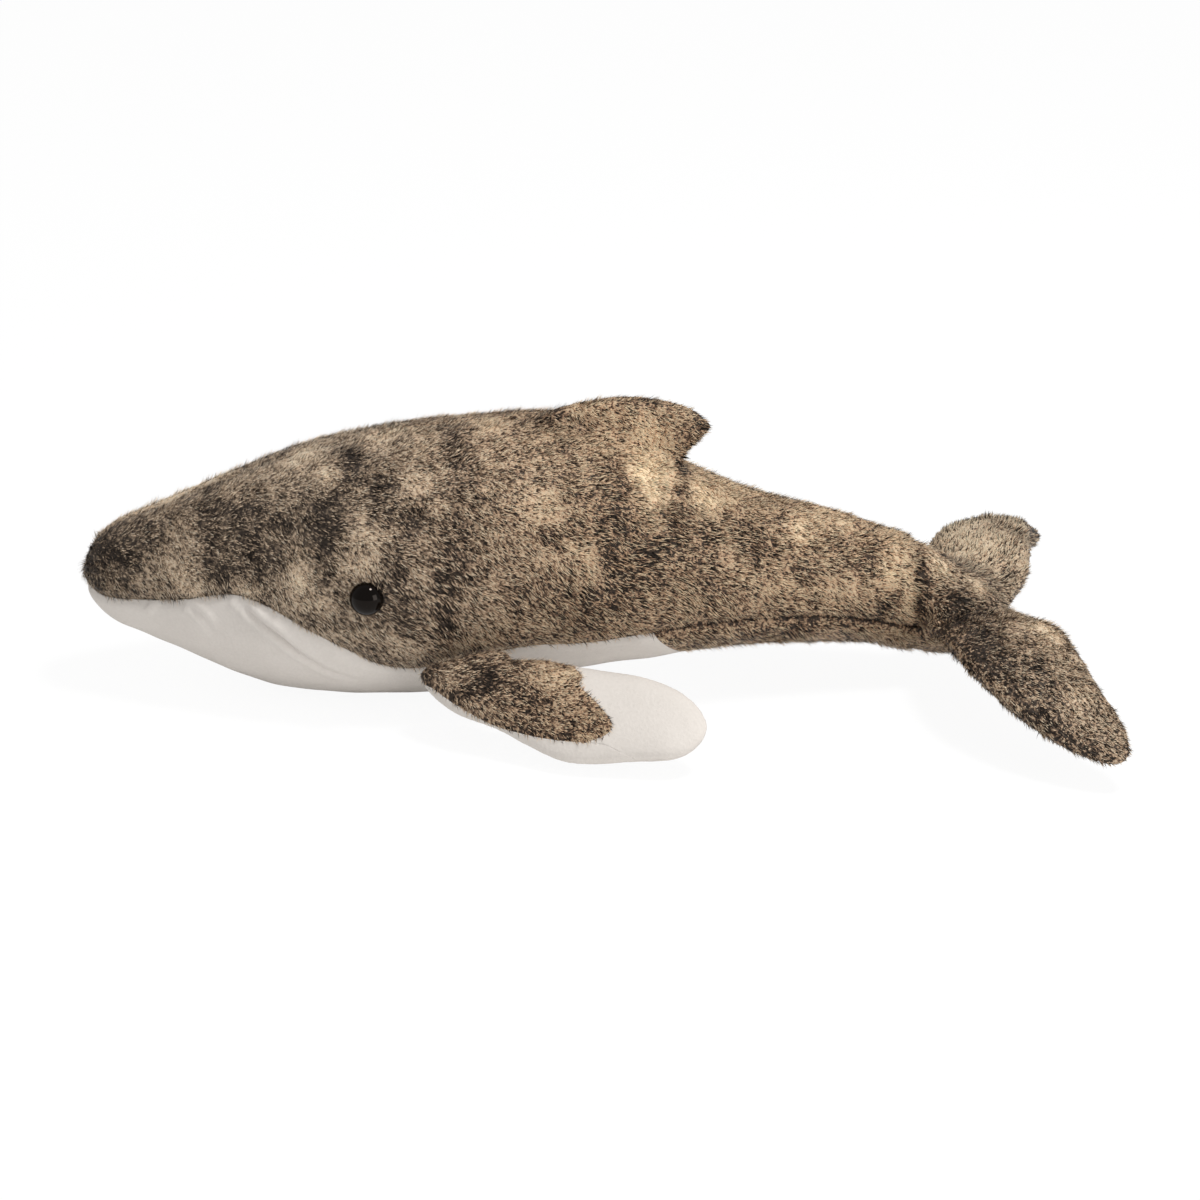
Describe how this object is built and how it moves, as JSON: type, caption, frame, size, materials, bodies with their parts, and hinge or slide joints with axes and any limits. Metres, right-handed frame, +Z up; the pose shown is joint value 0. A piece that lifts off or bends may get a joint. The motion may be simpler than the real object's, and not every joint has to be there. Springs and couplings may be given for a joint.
{
  "type": "plush whale",
  "caption": "Stuffed plush whale lying on its belly, with mottled fur, a white pleated throat, drooping flippers and wide flukes that bend on soft hinges.",
  "frame": {"origin": "under the middle of the whale, on the surface that it lies on", "axes": "+X from snout to tail, +Y to the whale's right, +Z up"},
  "size_m": [0.3658, 0.1958, 0.1112],
  "materials": {
    "fur": "short brushed pile mottled in tan, brown and charcoal",
    "velboa": "white short pile",
    "filling": "white polyester fibre",
    "eye": "glossy black-brown dome",
    "washer": "matte white"
  },
  "bodies": {
    "body": {"left_side_panel": "fur", "right_side_panel": "fur", "throat_belly_panel": "velboa", "tail_underside_panel": "fur", "body_filling": "filling", "left_eye": "eye", "right_eye": "eye", "left_eye_washer": "washer", "right_eye_washer": "washer"},
    "left_flipper": {"left_flipper_fur_panel": "fur", "left_flipper_white_tip": "velboa", "left_flipper_underside": "velboa", "left_flipper_filling": "filling"},
    "right_flipper": {"right_flipper_fur_panel": "fur", "right_flipper_white_tip": "velboa", "right_flipper_underside": "velboa", "right_flipper_filling": "filling"},
    "flukes": {"left_fluke_top_panel": "fur", "right_fluke_top_panel": "fur", "fluke_underside_panel": "fur", "fluke_filling": "filling"}
  },
  "joints": [
    {"name": "left_flipper_flap", "type": "hinge", "parent": "body", "child": "left_flipper", "pos_m": [-0.04325, -0.04776, 0.02665], "axis": [-0.9763, 0, -0.2164], "range_deg": [-12, 65], "stiffness_Nm_per_rad": 0.3},
    {"name": "right_flipper_flap", "type": "hinge", "parent": "body", "child": "right_flipper", "pos_m": [-0.04325, 0.04776, 0.02665], "axis": [0.9763, 0, 0.2164], "range_deg": [-12, 65], "stiffness_Nm_per_rad": 0.3},
    {"name": "fluke_pitch", "type": "hinge", "parent": "body", "child": "flukes", "pos_m": [0.10076, 0, 0.0315], "axis": [0, -1, 0], "range_deg": [-25, 25], "stiffness_Nm_per_rad": 1}
  ]
}
